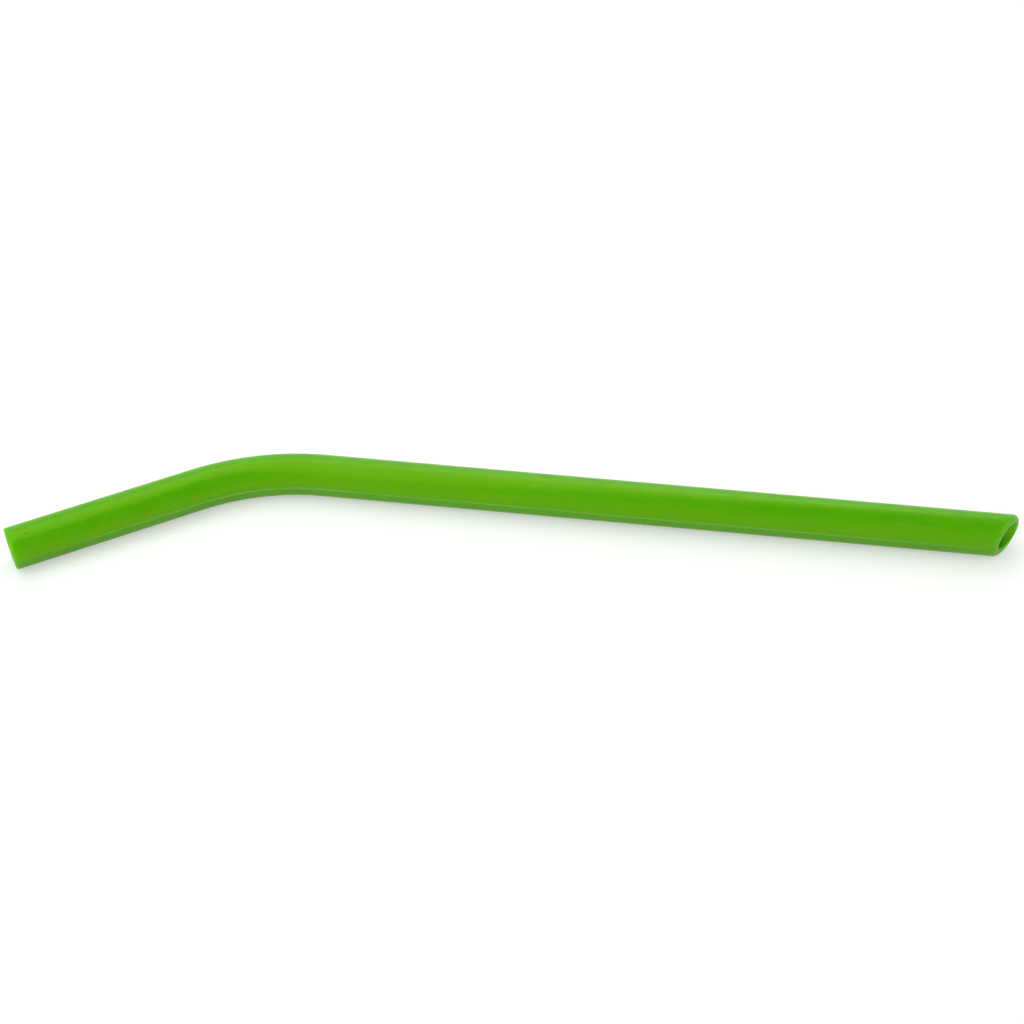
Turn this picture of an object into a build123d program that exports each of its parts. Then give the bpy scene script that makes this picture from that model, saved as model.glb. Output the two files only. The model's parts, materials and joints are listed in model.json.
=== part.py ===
from build123d import *

import os
from math import radians, tan

# Bent drinking straw, moulded in one piece from soft silicone.
# It lies on its side: the bend is in a horizontal plane, the long stem runs along +X
# to the slanted tip that goes into the drink, and the mouth end turns towards -Y.

# Driving dimensions, in millimetres and degrees
outer_diameter = 10.8
wall = 2.0
straw_length = 254.0  # along the centreline, from the mouth to the middle of the tip
mouth_length = 48.0  # straight run between the mouth and the bend
bend_radius = 55.0  # to the centreline
bend_angle = 34.5
tip_slant = 35.0  # how far the tip leans from a square end
tip_outer_round = 1.1
tip_inner_round = 0.3
mouth_outer_round = 0.6
mouth_inner_round = 0.3
parting_height = 0.1  # fine ridge where the two halves of the mould met
parting_setback = 1.6  # from each end's face to where the ridge stops
outer_round_share = 0.55  # most of the wall that an outer rounding may take
inner_round_share = 0.3  # most of the wall that an inner rounding may take

# Sizes that follow from them
outer_radius = outer_diameter / 2
bore_radius = outer_radius - wall
bend_length = radians(bend_angle) * bend_radius
stem_length = straw_length - mouth_length - bend_length
tip_reach = outer_radius * tan(radians(tip_slant))  # from the middle of the tip to its point
tip_overrun = 2 * tip_reach  # the tube runs on past the tip's point, and is then cut
outer_round_limit = outer_round_share * wall
inner_round_limit = inner_round_share * wall

# Centreline, from beyond the tip's point, through the bend, to the mouth
with BuildLine() as centreline:
    stem_line = Line((stem_length + tip_overrun, 0), (0, 0))
    bend_line = JernArc(stem_line @ 1, stem_line % 1, bend_radius, bend_angle)
    mouth_line = Line(bend_line @ 1, bend_line @ 1 + mouth_length * (bend_line % 1))

# Section plane at the start of the centreline, with its own X axis in the plane of the bend
section_plane = Plane(stem_line @ 0, x_dir=(0, 1, 0), z_dir=(1, 0, 0))

# The two ends, facing outwards. The tip's point is on the outside of the bend.
tip_plane = Plane((stem_length, 0, 0), z_dir=Vector(1, 0, 0).rotate(Axis.Z, -tip_slant))
mouth_plane = Plane(mouth_line @ 1, z_dir=mouth_line % 1)

# Parting line: a fine bead along both sides of the straw, clear of the rounded lips
with BuildPart() as parting_line:
    with BuildSketch(section_plane):
        with Locations((-outer_radius, 0), (outer_radius, 0)):
            Circle(parting_height)
    sweep(path=centreline.line)
    for end_plane in (tip_plane, mouth_plane):
        split(bisect_by=end_plane.offset(-parting_setback), keep=Keep.BOTTOM)

# The moulding: a bent tube, cut on the slant at its tip, with softly rounded lips
with BuildPart() as moulding:
    with BuildSketch(section_plane):
        Circle(outer_radius)
        Circle(bore_radius, mode=Mode.SUBTRACT)
    sweep(path=centreline.line)
    split(bisect_by=tip_plane, keep=Keep.BOTTOM)
    for end_plane, outer_round, inner_round in (
        (tip_plane, tip_outer_round, tip_inner_round),
        (mouth_plane, mouth_outer_round, mouth_inner_round),
    ):
        lip = moulding.faces().filter_by(end_plane)[0]
        fillet(lip.outer_wire().edges(), min(outer_round, outer_round_limit))
        lip = moulding.faces().filter_by(end_plane)[0]
        fillet(lip.inner_wires()[0].edges(), min(inner_round, inner_round_limit))
    add(parting_line.part)

# The straw as it rests, with the middle of its footprint at the origin
footprint = moulding.part.bounding_box()
with BuildPart() as straw:
    with Locations((-footprint.center().X, -footprint.center().Y, -footprint.min.Z)):
        add(moulding.part)
straw.part.label = "straw"

os.makedirs("parts", exist_ok=True)
export_step(straw.part, "parts/straw.step")
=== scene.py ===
import json
import math

import bpy
from mathutils import Matrix, Vector, noise


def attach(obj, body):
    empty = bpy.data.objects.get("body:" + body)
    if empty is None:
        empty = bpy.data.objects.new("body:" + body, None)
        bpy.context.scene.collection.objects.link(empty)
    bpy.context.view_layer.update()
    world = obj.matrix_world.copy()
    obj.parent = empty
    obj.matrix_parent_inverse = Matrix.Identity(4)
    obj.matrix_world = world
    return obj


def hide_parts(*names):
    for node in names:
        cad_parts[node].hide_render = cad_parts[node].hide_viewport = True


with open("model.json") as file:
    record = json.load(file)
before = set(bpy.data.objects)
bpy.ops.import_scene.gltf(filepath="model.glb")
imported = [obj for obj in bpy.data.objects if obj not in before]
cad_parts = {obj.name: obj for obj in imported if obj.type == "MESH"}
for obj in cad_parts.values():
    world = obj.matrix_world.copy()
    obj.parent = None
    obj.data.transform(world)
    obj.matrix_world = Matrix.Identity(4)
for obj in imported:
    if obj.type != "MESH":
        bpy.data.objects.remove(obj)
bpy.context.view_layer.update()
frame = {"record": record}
mm = 0.001
up = Vector((0, 0, 1))

# The straw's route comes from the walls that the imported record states
mounts = {mount["name"]: mount for mount in frame["record"]["mounts"]}


def wallFoot(name):  # where a straight run meets the bend, and the way out along it
    mount = mounts[name]
    way = Vector(mount["axis"]).normalized()
    return Vector(mount["pos_m"]) - way * mount["dims"]["length_mm"] * mm / 2, way


def nearSide(way):  # sideways from the centreline, towards the inside of the bend
    return way.cross(up)


strawShape = {
    "length": 254.0 * mm,  # along the centreline
    "mouthRun": 48.0 * mm,  # straight, from the mouth to the bend
    "slant": math.radians(35.0),  # lean of the tip
    "tipOuterLip": 1.1 * mm,
    "tipInnerLip": 0.3 * mm,
    "mouthOuterLip": 0.6 * mm,
    "mouthInnerLip": 0.3 * mm,
    "skinGap": 0.007 * mm,  # the skin lies this far inside the solid's wall
    "leanStretch": 14.0 * mm,  # where the rings lean over to the slant
    "outerStep": 0.8 * mm,  # ring spacing outside
    "boreStep": 3.0 * mm,
    "plainColumns": 38,  # between the two parting lines
    "lipSteps": 7,
    "flatSteps": 2,
}
stemFoot, stemWay = wallFoot("tip_bore")
mouthFoot, mouthWay = wallFoot("mouth_bore")
outerRadius = mounts["stem"]["dims"]["r_mm"] * mm - strawShape["skinGap"]
boreRadius = mounts["tip_bore"]["dims"]["r_mm"] * mm
bendAngle = stemWay.angle(-mouthWay)
bendRadius = (stemFoot - mouthFoot).length / (2 * math.sin(bendAngle / 2))
bendLength = bendAngle * bendRadius
bendMiddle = stemFoot + nearSide(stemWay) * bendRadius

parting = {
    "columns": (0.0, 0.06, 0.12, 0.17, 0.22, 0.3, 0.5, 0.85),  # mm from the ridge's middle
    "halfWidth": 0.2 * mm,
    "height": 0.085 * mm,
    "ridgePower": 1.5,  # how steeply the ridge falls off from its middle
    "frostGlintPower": 0.6,  # and its pale tone, partly frosty flash and partly a painted glint, which is broader
    "frostGlintGain": 1.3,
    "wander": 0.18 * mm,  # sideways, as the mould closed
    "wanderReach": 3.5 * mm,
    "wanderWaves": ((38.0, 1.0, 0.3), (9.0, 0.35, 7.7)),  # length in mm, share, place in the noise
    "meanLift": 0.8,  # share of the full height
    "leastLift": 0.05,
    "liftWaves": ((6.0, 0.4, 3.1), (1.7, 0.35, 5.9)),
    "farPlace": 40.0,  # of the far parting line in the noise
    "endGap": 1.6 * mm,
    "fade": 1.5 * mm,
    "strengths": (  # mm from the mouth, and how plain the line is there
        (0, 0.2), (18, 0.25), (24, 0.7), (31, 1.0), (78, 1.0),
        (95, 0.7), (215, 0.75), (235, 0.45), (262, 0.4),
    ),
}


def smooth(low, high, value):
    share = min(max((value - low) / (high - low), 0.0), 1.0)
    return share * share * (3 - 2 * share)


def evenly(low, high, step):
    count = max(int(round((high - low) / step)), 1)
    return [low + (high - low) * index / count for index in range(count + 1)]


def centreline(run):  # point and way towards the tip; run counts from the mouth
    mouthRun = strawShape["mouthRun"]
    if run <= mouthRun:
        return mouthFoot + mouthWay * (mouthRun - run), -mouthWay
    if run >= mouthRun + bendLength:
        return stemFoot + stemWay * (run - mouthRun - bendLength), stemWay
    turn = (run - mouthRun) / bendRadius
    way = nearSide(-mouthWay) * math.sin(turn) - mouthWay * math.cos(turn)
    return bendMiddle - nearSide(way) * bendRadius, way


def skinSpot(run, angle, radius):  # angle counts from the near side, upwards
    spot, way = centreline(run)
    return spot + (nearSide(way) * math.cos(angle) + up * math.sin(angle)) * radius


def lipProfile(lean, stretch, outerLip, innerLip):
    # (reach, radius) pairs from the outer wall, over the lip, to the bore
    slope = lean / stretch
    halves = []
    for radius, lip, side in ((outerRadius, outerLip, -1), (boreRadius, innerLip, 1)):
        corner = Vector((radius * slope, radius))
        alongWall = Vector((-1, 0))
        overLip = Vector((slope, 1)).normalized() * side
        half = alongWall.angle(overLip) / 2
        centre = corner + (alongWall + overLip).normalized() * lip / math.sin(half)
        first = (corner + alongWall * lip / math.tan(half) - centre).normalized()
        last = (corner + overLip * lip / math.tan(half) - centre).normalized()
        steps = strawShape["lipSteps"]
        halves.append([centre + first.slerp(last, step / steps) * lip for step in range(steps + 1)])
    outer, inner = halves[0], halves[1][::-1]
    flatSteps = strawShape["flatSteps"]
    flat = [outer[-1].lerp(inner[0], step / flatSteps) for step in range(1, flatSteps)]
    return [(spot.x * stretch, spot.y) for spot in outer + flat + inner]


def profileAt(angle):
    # (run, radius, outside) all round the wall's section, and where the tip's lip starts
    shape = strawShape
    tilt = math.tan(shape["slant"])
    stretch = math.hypot(1, tilt * math.sin(angle))  # the sideways tilt draws the rounding out
    tipLip = lipProfile(-math.cos(angle) * tilt, stretch, shape["tipOuterLip"], shape["tipInnerLip"])
    tipLip = [(shape["length"] + reach, radius) for reach, radius in tipLip]
    mouthLip = lipProfile(0.0, 1.0, shape["mouthOuterLip"], shape["mouthInnerLip"])
    leanFrom = shape["length"] - shape["leanStretch"]
    outerLean = evenly(0, 1, shape["outerStep"] / shape["leanStretch"])[1:-1]
    boreLean = evenly(0, 1, shape["boreStep"] / shape["leanStretch"])[1:-1]
    outerRuns = evenly(shape["mouthOuterLip"], leanFrom, shape["outerStep"])[1:]
    outerRuns += [leanFrom + (tipLip[0][0] - leanFrom) * share for share in outerLean]
    boreRuns = evenly(shape["mouthInnerLip"], leanFrom, shape["boreStep"])[1:]
    boreRuns += [leanFrom + (tipLip[-1][0] - leanFrom) * share for share in boreLean]
    profile = [(run, outerRadius, True) for run in outerRuns]
    profile += [(run, radius, False) for run, radius in tipLip]
    profile += [(run, boreRadius, False) for run in reversed(boreRuns)]
    profile += [(-reach, radius, False) for reach, radius in reversed(mouthLip)]
    return profile, tipLip[0][0]


def columnAngles():  # close together at the two parting lines
    half = [offset * mm / outerRadius for offset in parting["columns"]]
    gap = math.pi - 2 * half[-1]
    count = strawShape["plainColumns"]
    plain = [half[-1] + gap * index / (count + 1) for index in range(1, count + 1)]
    oneSide = half + plain + [math.pi - angle for angle in reversed(half)]
    return oneSide + [angle + math.pi for angle in oneSide[1:-1]]


def waves(kind, run, far):  # smooth unevenness along one parting line
    place = parting["farPlace"] if far else 0.0
    return sum(
        share * noise.noise(Vector((run / (length * mm), place, depth)))
        for length, share, depth in parting[kind]
    )


def partingStrength(run):
    stops = parting["strengths"]
    for (low, before), (high, after) in zip(stops, stops[1:]):
        if run <= high * mm:
            return before + (after - before) * smooth(low * mm, high * mm, run)
    return stops[-1][1]


def partingAt(run, toEnd, offset, far):
    # sideways turn of the skin, its rise and its pale tone, partly frosty flash and partly a painted glint,
    # beside one parting line
    fade = smooth(parting["endGap"], parting["endGap"] + parting["fade"], toEnd)
    window = 1 - smooth(0, parting["wanderReach"], abs(offset))
    turn = waves("wanderWaves", run, far) * parting["wander"] * fade * window / outerRadius
    lift = min(max(parting["meanLift"] + waves("liftWaves", run, far), parting["leastLift"]), 1.0)
    plain = partingStrength(run) * fade
    bump = max(1 - (offset / parting["halfWidth"]) ** 2, 0)
    rise = bump ** parting["ridgePower"] * lift * plain * parting["height"]
    frostGlint = bump ** parting["frostGlintPower"] * min(lift * parting["frostGlintGain"], 1) * plain
    return turn, rise, frostGlint


def buildStraw():
    angles = columnAngles()
    verts = []
    pale = []
    for angle in angles:
        profile, tipEdge = profileAt(angle)
        offset = math.asin(math.sin(angle)) * outerRadius  # from the middle of the nearer parting line
        far = math.cos(angle) < 0
        for run, radius, outside in profile:
            turn, rise, frostGlint = 0.0, 0.0, 0.0
            if outside:
                turn, rise, frostGlint = partingAt(run, min(run, tipEdge - run), offset, far)
            verts.append(skinSpot(run, angle + turn, radius + rise))
            pale.append(frostGlint)
    rows = len(verts) // len(angles)
    faces = []
    for column in range(len(angles)):
        here = column * rows
        there = (column + 1) % len(angles) * rows
        for row in range(rows):
            below = (row + 1) % rows
            faces.append((here + row, here + below, there + below, there + row))
    mesh = bpy.data.meshes.new("strawSkin")
    mesh.from_pydata(verts, [], faces)
    mesh.polygons.foreach_set("use_smooth", [True] * len(faces))
    mesh.attributes.new("partingFrostGlint", "FLOAT", "POINT").data.foreach_set("value", pale)
    mesh.update()
    straw = bpy.data.objects.new("strawSkin", mesh)
    bpy.context.scene.collection.objects.link(straw)
    print("straw skin:", len(verts), "points,", len(faces), "faces")
    return straw


silicone = {
    "lime": (0.079, 0.435, 0.001),
    "deepLime": (0.073, 0.408, 0.001),
    "cloudScale": 70.0,  # of the patches of the two
    "cloudDetail": 3.0,
    # pale tone of the parting line: partly frosty flash, partly a painted glint where the ridge catches the
    # light
    "partingFrostGlint": (0.2, 0.48, 0.11),
    "ior": 1.62,
    "roughness": 0.2,
    "roughnessSpread": 0.05,
    "gloss": 0.5,
    "edgeGloss": 0.03,  # the skin is duller where it turns away
    "edgeFrom": 0.28,
    "edgeTo": 0.62,
    "glossTint": (1.0, 1.0, 0.08, 1.0),  # pigment near the surface tints the gloss
    "bloom": 1.0,  # soft pale sheen where the skin turns away
    "bloomSpread": 0.3,
    "bloomTint": (0.6, 0.45, 0.15, 1.0),
    "throughGlow": 1.0,  # light that comes through the wall
    "glowTint": (0.6, 1.0, 0.1),
    "glowDepth": 6.0 * mm,
    "peelScale": 1300.0,  # faint waves in the skin that break up the edge of a highlight
    "peelDetail": 1.0,
    "peelHeight": 0.07 * mm,
    "grainScale": 2600.0,
    "grainDetail": 2.0,
    "grainHeight": 0.006 * mm,
}
skinMarks = {  # run from the mouth in mm, angle up from the near side in degrees, size in mm
    "dark": ((4.8, 69.5, 0.3), (132.9, 65.5, 0.16), (230.5, 30.0, 0.14)),
    "pale": (
        (124.8, 80.0, 0.3), (136.3, 63.5, 0.26), (120.2, -7.0, 0.28), (176.6, 72.0, 0.22), (15.2, 56.5, 0.24),
    ),
    "core": 0.5,  # share of a mark's size that has its full tone
    "glintStreaks": (  # painted highlight streaks near the tip, pale spots in place of a reflection: run and angle where each one starts and where it ends
        (226.5, 47.5, 229.8, 46.0),
        (231.0, 46.0, 235.0, 44.0),
        (243.8, 45.0, 249.2, 43.5),
    ),
    "glintSpots": 12,
    "glintSize": 0.34,
    "glintLeast": 0.6,  # share of that size
    "glintSpread": 0.8,
    "glintSizeNoise": (1.7, 2.3, 0.0),  # waves to a mm, and the place in the noise
    "glintSway": 8.0,  # degrees
    "glintSwayNoise": (3.1, 8.3, 0.5),
    "darkTone": (0.04, 0.23, 0.001),
    "paleTone": (0.2, 0.48, 0.06),
    # pale tone of the painted highlight streaks
    "glintTone": (0.115, 0.44, 0.02),
}


def addNode(tree, kind, inputs=None, **settings):
    node = tree.nodes.new(kind)
    for name, value in settings.items():
        setattr(node, name, value)
    for name, value in (inputs or {}).items():
        node.inputs[name].default_value = value
    return node


def addNoise(tree, place, scale, detail):
    texture = addNode(tree, "ShaderNodeTexNoise", {"Scale": scale, "Detail": detail})
    tree.links.new(place.outputs["Object"], texture.inputs["Vector"])
    return texture.outputs["Fac"]


def addBump(tree, height, distance):
    bump = addNode(tree, "ShaderNodeBump", {"Strength": 1.0, "Distance": distance})
    tree.links.new(height, bump.inputs["Height"])
    return bump


def spotMask(tree, place, spots):  # 1 on the marks, 0 elsewhere
    mask = None
    for run, angle, size in spots:
        reach = addNode(tree, "ShaderNodeVectorMath", operation="DISTANCE")
        reach.inputs[1].default_value = skinSpot(run * mm, math.radians(angle), outerRadius)
        tree.links.new(place.outputs["Object"], reach.inputs[0])
        near = addNode(tree, "ShaderNodeMapRange", {
            "From Min": size * skinMarks["core"] * mm, "From Max": size * mm, "To Min": 1.0, "To Max": 0.0,
        })
        tree.links.new(reach.outputs["Value"], near.inputs["Value"])
        if mask:
            both = addNode(tree, "ShaderNodeMath", operation="MAXIMUM")
            tree.links.new(mask, both.inputs[0])
            tree.links.new(near.outputs["Result"], both.inputs[1])
            mask = both.outputs[0]
        else:
            mask = near.outputs["Result"]
    return mask


def glintNoise(kind, run):
    perMm, place, depth = skinMarks[kind]
    return noise.noise(Vector((run * perMm, place, depth)))


def glintSpots():  # a painted highlight streak is a strewn row of fine pale spots, uneven in size
    marks = skinMarks
    spots = []
    count = marks["glintSpots"]
    for fromRun, fromAngle, toRun, toAngle in marks["glintStreaks"]:
        for index in range(count):
            share = index / (count - 1)
            run = fromRun + (toRun - fromRun) * share
            angle = fromAngle + (toAngle - fromAngle) * share
            angle += marks["glintSway"] * glintNoise("glintSwayNoise", run)
            uneven = marks["glintLeast"] + marks["glintSpread"] * abs(glintNoise("glintSizeNoise", run))
            spots.append((run, angle, marks["glintSize"] * uneven))
    return spots


def skinColour(tree, place):
    tone = addNode(tree, "ShaderNodeMix", data_type="RGBA")
    tone.inputs["A"].default_value = (*silicone["deepLime"], 1)
    tone.inputs["B"].default_value = (*silicone["lime"], 1)
    cloud = addNoise(tree, place, silicone["cloudScale"], silicone["cloudDetail"])
    tree.links.new(cloud, tone.inputs["Factor"])
    colour = tone.outputs["Result"]
    pale = addNode(tree, "ShaderNodeAttribute", attribute_name="partingFrostGlint")
    for mask, tint in (
        # the parting line's pale tone, partly frosty flash and partly a painted glint
        (pale.outputs["Fac"], silicone["partingFrostGlint"]),
        (spotMask(tree, place, skinMarks["pale"]), skinMarks["paleTone"]),
        # painted highlight: the pale streaks of spots near the tip
        (spotMask(tree, place, glintSpots()), skinMarks["glintTone"]),
        (spotMask(tree, place, skinMarks["dark"]), skinMarks["darkTone"]),
    ):
        layer = addNode(tree, "ShaderNodeMix", data_type="RGBA")
        layer.inputs["B"].default_value = (*tint, 1)
        tree.links.new(mask, layer.inputs["Factor"])
        tree.links.new(colour, layer.inputs["A"])
        colour = layer.outputs["Result"]
    return colour


def skinGloss(tree):  # full where the skin faces the viewer, little at its edges
    facing = addNode(tree, "ShaderNodeLayerWeight")
    gloss = addNode(tree, "ShaderNodeMapRange", {
        "From Min": silicone["edgeFrom"], "From Max": silicone["edgeTo"],
        "To Min": silicone["gloss"], "To Max": silicone["edgeGloss"],
    })
    tree.links.new(facing.outputs["Facing"], gloss.inputs["Value"])
    return gloss.outputs["Result"]


def siliconeMaterial():
    look = silicone
    material = bpy.data.materials.new("limeSilicone")
    material.use_nodes = True
    tree = material.node_tree
    link = tree.links.new
    shader = tree.nodes["Principled BSDF"]
    for socket, name in (
        ("IOR", "ior"),
        ("Specular Tint", "glossTint"),
        ("Sheen Weight", "bloom"),
        ("Sheen Roughness", "bloomSpread"),
        ("Sheen Tint", "bloomTint"),
        ("Subsurface Weight", "throughGlow"),
        ("Subsurface Radius", "glowTint"),
        ("Subsurface Scale", "glowDepth"),
    ):
        shader.inputs[socket].default_value = look[name]
    place = addNode(tree, "ShaderNodeTexCoord")
    link(skinColour(tree, place), shader.inputs["Base Color"])
    link(skinGloss(tree), shader.inputs["Specular IOR Level"])
    grain = addNoise(tree, place, look["grainScale"], look["grainDetail"])
    rough = addNode(tree, "ShaderNodeMapRange", {
        "To Min": look["roughness"] - look["roughnessSpread"],
        "To Max": look["roughness"] + look["roughnessSpread"],
    })
    link(grain, rough.inputs["Value"])
    link(rough.outputs["Result"], shader.inputs["Roughness"])
    peel = addBump(tree, addNoise(tree, place, look["peelScale"], look["peelDetail"]), look["peelHeight"])
    fine = addBump(tree, grain, look["grainHeight"])
    link(peel.outputs["Normal"], fine.inputs["Normal"])
    link(fine.outputs["Normal"], shader.inputs["Normal"])
    print("silicone:", len(tree.nodes), "nodes")
    return material


straw = buildStraw()
straw.data.materials.append(siliconeMaterial())
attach(straw, "root")
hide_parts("straw")

studio = {
    "floorSize": 8.0,
    "backdropRadius": 3.9,
    "backdropHeight": 0.8,
    "backdropSides": 96,
    "whiteFrom": 0.4,  # away from the straw the floor turns to the backdrop's plain white
    "whiteTo": 0.9,
    "tableWhite": 0.45,
    "sweepShade": 0.75,  # share of the table's own light that the camera sees
    "sweepGlow": 0.36,  # and the even white under it
    "roomEven": 0.33,
    "roomEnds": 0.75,  # more light from in front and from behind
    "roomBack": 0.1,  # a little more of it from behind
}


def mixShaders(tree, share, first, second):
    mix = addNode(tree, "ShaderNodeMixShader")
    tree.links.new(share, mix.inputs[0])
    tree.links.new(first.outputs[0], mix.inputs[1])
    tree.links.new(second.outputs[0], mix.inputs[2])
    return mix


def addDiffuse(tree, level):
    return addNode(tree, "ShaderNodeBsdfDiffuse", {"Color": (level, level, level, 1)})


def addGlow(tree, strength):
    return addNode(tree, "ShaderNodeEmission", {"Color": (1, 1, 1, 1), "Strength": strength})


def seenRays(tree):  # 1 for the rays that show the floor to the camera, also by way of gloss or glass
    path = addNode(tree, "ShaderNodeLightPath")
    seen = path.outputs["Is Camera Ray"]
    for name in ("Is Glossy Ray", "Is Transmission Ray"):
        either = addNode(tree, "ShaderNodeMath", operation="MAXIMUM")
        tree.links.new(seen, either.inputs[0])
        tree.links.new(path.outputs[name], either.inputs[1])
        seen = either.outputs[0]
    return seen


def paleMaterial():
    material = bpy.data.materials.new("paleTable")
    material.use_nodes = True
    material.cycles.emission_sampling = "NONE"  # its white is only looked at and lights nothing
    tree = material.node_tree
    link = tree.links.new
    tree.nodes.remove(tree.nodes["Principled BSDF"])
    seen = seenRays(tree)
    sweep = addNode(tree, "ShaderNodeAddShader")
    link(addDiffuse(tree, studio["sweepShade"]).outputs[0], sweep.inputs[0])
    link(addGlow(tree, studio["sweepGlow"]).outputs[0], sweep.inputs[1])
    near = mixShaders(tree, seen, addDiffuse(tree, studio["tableWhite"]), sweep)
    clear = addNode(tree, "ShaderNodeBsdfTransparent")  # the room's light passes through the backdrop
    distant = mixShaders(tree, seen, clear, addGlow(tree, 1.0))
    place = addNode(tree, "ShaderNodeTexCoord")
    reach = addNode(tree, "ShaderNodeVectorMath", operation="LENGTH")
    link(place.outputs["Object"], reach.inputs[0])
    away = addNode(tree, "ShaderNodeMapRange", {
        "From Min": studio["whiteFrom"], "From Max": studio["whiteTo"],
    })
    link(reach.outputs["Value"], away.inputs["Value"])
    surface = mixShaders(tree, away.outputs["Result"], near, distant)
    link(surface.outputs[0], tree.nodes["Material Output"].inputs["Surface"])
    return material


def addStage(name, points, faces, material):
    mesh = bpy.data.meshes.new(name)
    mesh.from_pydata(points, [], faces)
    mesh.materials.append(material)
    piece = bpy.data.objects.new(name, mesh)
    bpy.context.scene.collection.objects.link(piece)


def buildFloor(material):
    half = studio["floorSize"] / 2
    corners = [(-half, -half, 0), (half, -half, 0), (half, half, 0), (-half, half, 0)]
    addStage("paleFloor", corners, [(0, 1, 2, 3)], material)


def buildBackdrop(material):  # a low round wall
    radius = studio["backdropRadius"]
    count = studio["backdropSides"]
    points = []
    faces = []
    for index in range(count):
        turn = 2 * math.pi * index / count
        for height in (0, studio["backdropHeight"]):
            points.append((radius * math.cos(turn), radius * math.sin(turn), height))
        here = 2 * index
        there = 2 * ((index + 1) % count)
        faces.append((here, there, there + 1, here + 1))
    addStage("paleBackdrop", points, faces, material)


def buildRoom():
    world = bpy.data.worlds.new("studioRoom")
    bpy.context.scene.world = world
    world.use_nodes = True
    tree = world.node_tree
    place = addNode(tree, "ShaderNodeTexCoord")
    axes = addNode(tree, "ShaderNodeSeparateXYZ")
    tree.links.new(place.outputs["Generated"], axes.inputs[0])
    slope = addNode(tree, "ShaderNodeMath", operation="MULTIPLY_ADD")
    slope.inputs[1].default_value = studio["roomEnds"]
    slope.inputs[2].default_value = studio["roomBack"]
    tree.links.new(axes.outputs["Y"], slope.inputs[0])
    level = addNode(tree, "ShaderNodeMath", operation="MULTIPLY_ADD")
    level.inputs[2].default_value = studio["roomEven"]
    tree.links.new(axes.outputs["Y"], level.inputs[0])
    tree.links.new(slope.outputs[0], level.inputs[1])
    tree.links.new(level.outputs[0], tree.nodes["Background"].inputs["Strength"])
    tree.nodes["Background"].inputs["Color"].default_value = (1, 1, 1, 1)


keySoftbox = {
    "edgeFront": (-0.161, -0.45),  # line over the table where its full light ends
    "edgeBack": (0.351, 1.0),
    "height": 0.5,
    "fullWidth": 0.45,
    "fullRadiance": 0.82,
    "rimWidth": 0.04,  # it dims towards its right-hand rim
    "rimRadiance": 0.4,
}
sideSoftboxes = {
    "left": {"place": (-0.7, -0.65, 0.35), "size": 0.8, "radiance": 1.3},
    "right": {"place": (0.85, -0.15, 0.42), "size": 0.7, "radiance": 1.0},
}


def addSoftbox(name, width, length, radiance):
    lamp = bpy.data.lights.new(name + "Softbox", "AREA")
    lamp.shape = "RECTANGLE"
    lamp.size = width
    lamp.size_y = length
    lamp.energy = 4 * width * length * radiance
    softbox = bpy.data.objects.new(name + "Softbox", lamp)
    softbox.visible_camera = False
    bpy.context.scene.collection.objects.link(softbox)
    return softbox


def buildKeySoftbox():
    box = keySoftbox
    front, back = Vector(box["edgeFront"]), Vector(box["edgeBack"])
    along = (back - front).normalized()
    leftward = Vector((-along.y, along.x))
    for name, side in (("full", 1), ("rim", -1)):
        width = box[name + "Width"]
        softbox = addSoftbox(name, width, (back - front).length, box[name + "Radiance"])
        middle = (front + back) / 2 + leftward * side * width / 2
        softbox.location = (middle.x, middle.y, box["height"])
        softbox.rotation_euler = (0, 0, math.atan2(-along.x, along.y))


def buildSideSoftboxes():  # both face the straw
    for name, box in sideSoftboxes.items():
        softbox = addSoftbox(name, box["size"], box["size"], box["radiance"])
        softbox.location = box["place"]
        softbox.rotation_euler = softbox.location.to_track_quat("Z", "Y").to_euler()


photoView = {
    "elevation": math.radians(42.971),
    "turn": math.radians(8.279),
    "roll": math.radians(-0.547),
    "distance": 395.0 * mm,
    "lens": 55.138,
    "sensorWidth": 36.0,
    "clipFrom": 0.01,
    "clipTo": 50.0,
    "alongStem": 50.11 * mm,  # aim, from the foot of the stem
    "asideStem": 7.42 * mm,
}


def buildCamera():
    look = photoView
    aim = stemFoot + stemWay * look["alongStem"] + nearSide(stemWay) * look["asideStem"]
    flat = nearSide(stemWay) * math.cos(look["turn"]) + stemWay * math.sin(look["turn"])
    back = flat * math.cos(look["elevation"]) + up * math.sin(look["elevation"])
    right = up.cross(flat).normalized()
    top = back.cross(right)
    rolledRight = right * math.cos(look["roll"]) + top * math.sin(look["roll"])
    rolledTop = top * math.cos(look["roll"]) - right * math.sin(look["roll"])
    data = bpy.data.cameras.new("photoCamera")
    data.sensor_width = look["sensorWidth"]
    data.lens = look["lens"]
    data.clip_start = look["clipFrom"]
    data.clip_end = look["clipTo"]
    camera = bpy.data.objects.new("photoCamera", data)
    basis = Matrix((rolledRight, rolledTop, back)).transposed().to_4x4()
    camera.matrix_world = Matrix.Translation(aim + back * look["distance"]) @ basis
    bpy.context.scene.collection.objects.link(camera)
    bpy.context.scene.camera = camera


pale = paleMaterial()
buildFloor(pale)
buildBackdrop(pale)
buildRoom()
buildKeySoftbox()
buildSideSoftboxes()
buildCamera()
bpy.context.scene.view_settings.view_transform = "Standard"
print("studio: floor, backdrop, room, softboxes and camera")
